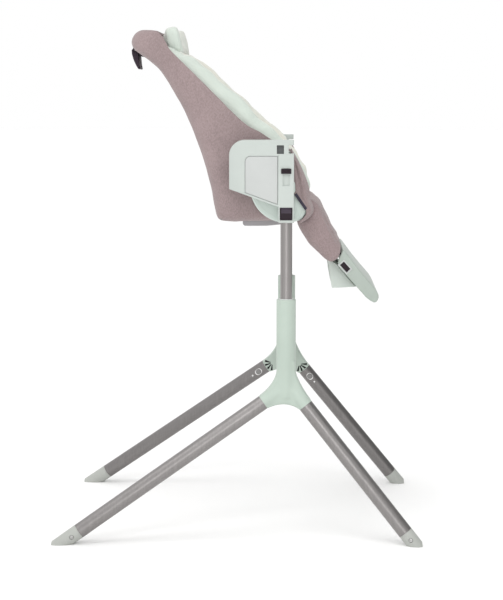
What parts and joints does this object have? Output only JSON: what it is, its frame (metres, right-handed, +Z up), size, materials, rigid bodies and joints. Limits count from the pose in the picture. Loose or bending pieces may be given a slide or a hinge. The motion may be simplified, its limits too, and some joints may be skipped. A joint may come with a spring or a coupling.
{
  "type": "bouncer seat",
  "caption": "Reclining baby bouncer seat hung between two telescopic posts on a splayed four-leg stand, with a leg rest, a footrest and a padded liner.",
  "frame": {"origin": "on the floor, under the middle of the four feet", "axes": "+X to the front, where the child's feet are; +Y to the child's left; +Z up"},
  "size_m": [0.744, 0.6174, 1.0362],
  "materials": {
    "mint_plastic": "satin moulded",
    "pale_plastic": "satin moulded",
    "foot_plastic": "matt moulded",
    "aluminium_tube": "satin anodised",
    "steel": "plain",
    "black_plastic": "satin moulded",
    "grey_plastic": "satin moulded",
    "mauve_fabric": "woven",
    "liner_fabric": "quilted knit",
    "webbing": "woven webbing"
  },
  "bodies": {
    "base_frame": {"hub_right": "mint_plastic", "hub_left": "mint_plastic", "leg_tube_rear_right": "aluminium_tube", "leg_tube_rear_left": "aluminium_tube", "leg_tube_front_right": "aluminium_tube", "leg_tube_front_left": "aluminium_tube", "foot_cap_rear_right": "foot_plastic", "foot_cap_rear_left": "foot_plastic", "foot_cap_front_right": "foot_plastic", "foot_cap_front_left": "foot_plastic", "foot_screw_rear_right": "steel", "foot_screw_rear_left": "steel", "foot_screw_front_right": "steel", "foot_screw_front_left": "steel", "cross_bar": "aluminium_tube", "post_bush_right": "pale_plastic", "post_bush_left": "pale_plastic"},
    "seat_carriage": {"inner_post_right": "aluminium_tube", "inner_post_left": "aluminium_tube", "carrier_right": "mint_plastic", "carrier_left": "mint_plastic", "carrier_cover_right": "pale_plastic", "carrier_cover_left": "pale_plastic", "hinge_pin_right": "steel", "hinge_pin_left": "steel"},
    "seat": {"hinge_disc_right": "mint_plastic", "hinge_disc_left": "mint_plastic", "seat_pan": "grey_plastic", "under_plate": "grey_plastic", "side_panel_right": "mauve_fabric", "side_panel_left": "mauve_fabric", "seat_pad": "liner_fabric", "crotch_strap": "webbing", "buckle": "black_plastic", "back_hinge_rod": "steel", "knee_hinge_rod": "steel"},
    "backrest": {"back_shell": "grey_plastic", "back_wing_right": "mauve_fabric", "back_wing_left": "mauve_fabric", "liner_back": "liner_fabric", "head_pad": "liner_fabric", "shoulder_strap_right": "webbing", "shoulder_strap_left": "webbing", "lever_bracket": "black_plastic", "lever_pin": "steel"},
    "recline_lever": {"recline_lever": "black_plastic"},
    "leg_rest": {"leg_rest_board": "grey_plastic", "leg_rest_pad": "mauve_fabric", "footrest_bracket": "mint_plastic"},
    "footrest": {"footrest_panel": "mint_plastic"},
    "tilt_slider_right": {"tilt_slider_right": "black_plastic"},
    "height_button_right": {"height_button_right": "black_plastic"},
    "footrest_button_right": {"footrest_button_right": "black_plastic"},
    "leg_snap_button_rear_right": {"leg_snap_button_rear_right": "pale_plastic"},
    "leg_snap_button_front_right": {"leg_snap_button_front_right": "pale_plastic"},
    "tilt_slider_left": {"tilt_slider_left": "black_plastic"},
    "height_button_left": {"height_button_left": "black_plastic"},
    "footrest_button_left": {"footrest_button_left": "black_plastic"},
    "leg_snap_button_rear_left": {"leg_snap_button_rear_left": "pale_plastic"},
    "leg_snap_button_front_left": {"leg_snap_button_front_left": "pale_plastic"}
  },
  "joints": [
    {"name": "seat_height", "type": "slide", "parent": "base_frame", "child": "seat_carriage", "axis": [0, 0, 1], "range_m": [-0.14, 0]},
    {"name": "seat_tilt", "type": "hinge", "parent": "seat_carriage", "child": "seat", "pos_m": [0.0975, 0, 0.713], "axis": [0, -1, 0], "range_deg": [-10, 10]},
    {"name": "back_recline", "type": "hinge", "parent": "seat", "child": "backrest", "pos_m": [-0.022, 0, 0.664], "axis": [0, -1, 0], "range_deg": [-12, 25]},
    {"name": "recline_lever_pull", "type": "hinge", "parent": "backrest", "child": "recline_lever", "pos_m": [-0.2165, 0, 0.991], "axis": [0, 1, 0], "range_deg": [0, 25], "stiffness_Nm_per_rad": 0.6, "springref_deg": -5.73},
    {"name": "leg_rest_fold", "type": "hinge", "parent": "seat", "child": "leg_rest", "pos_m": [0.13, 0, 0.662], "axis": [0, -1, 0], "range_deg": [-5, 45]},
    {"name": "footrest_slide", "type": "slide", "parent": "leg_rest", "child": "footrest", "axis": [0.6663, 0, -0.7457], "range_m": [0, 0.05]},
    {"name": "tilt_slider_right_slide", "type": "slide", "parent": "seat_carriage", "child": "tilt_slider_right", "axis": [0, 0, 1], "range_m": [-0.0235, 0]},
    {"name": "height_button_right_push", "type": "slide", "parent": "seat_carriage", "child": "height_button_right", "axis": [0, 1, 0], "range_m": [0, 0.0034], "stiffness_N_per_m": 1500, "springref_m": -0.002},
    {"name": "footrest_button_right_push", "type": "slide", "parent": "footrest", "child": "footrest_button_right", "axis": [0, 1, 0], "range_m": [0, 0.003], "stiffness_N_per_m": 1000, "springref_m": -0.002},
    {"name": "leg_snap_button_rear_right_push", "type": "slide", "parent": "base_frame", "child": "leg_snap_button_rear_right", "axis": [0.0825, -0.9949, 0.0572], "range_m": [0, 0.0024], "stiffness_N_per_m": 1200, "springref_m": -0.002},
    {"name": "leg_snap_button_front_right_push", "type": "slide", "parent": "base_frame", "child": "leg_snap_button_front_right", "axis": [-0.0824, -0.9913, 0.1028], "range_m": [0, 0.0024], "stiffness_N_per_m": 1200, "springref_m": -0.002},
    {"name": "tilt_slider_left_slide", "type": "slide", "parent": "seat_carriage", "child": "tilt_slider_left", "axis": [0, 0, 1], "range_m": [-0.0235, 0]},
    {"name": "height_button_left_push", "type": "slide", "parent": "seat_carriage", "child": "height_button_left", "axis": [0, -1, 0], "range_m": [0, 0.0034], "stiffness_N_per_m": 1500, "springref_m": -0.002},
    {"name": "footrest_button_left_push", "type": "slide", "parent": "footrest", "child": "footrest_button_left", "axis": [0, -1, 0], "range_m": [0, 0.003], "stiffness_N_per_m": 1000, "springref_m": -0.002},
    {"name": "leg_snap_button_rear_left_push", "type": "slide", "parent": "base_frame", "child": "leg_snap_button_rear_left", "axis": [0.0825, 0.9949, 0.0572], "range_m": [0, 0.0024], "stiffness_N_per_m": 1200, "springref_m": -0.002},
    {"name": "leg_snap_button_front_left_push", "type": "slide", "parent": "base_frame", "child": "leg_snap_button_front_left", "axis": [-0.0824, 0.9913, 0.1028], "range_m": [0, 0.0024], "stiffness_N_per_m": 1200, "springref_m": -0.002}
  ]
}
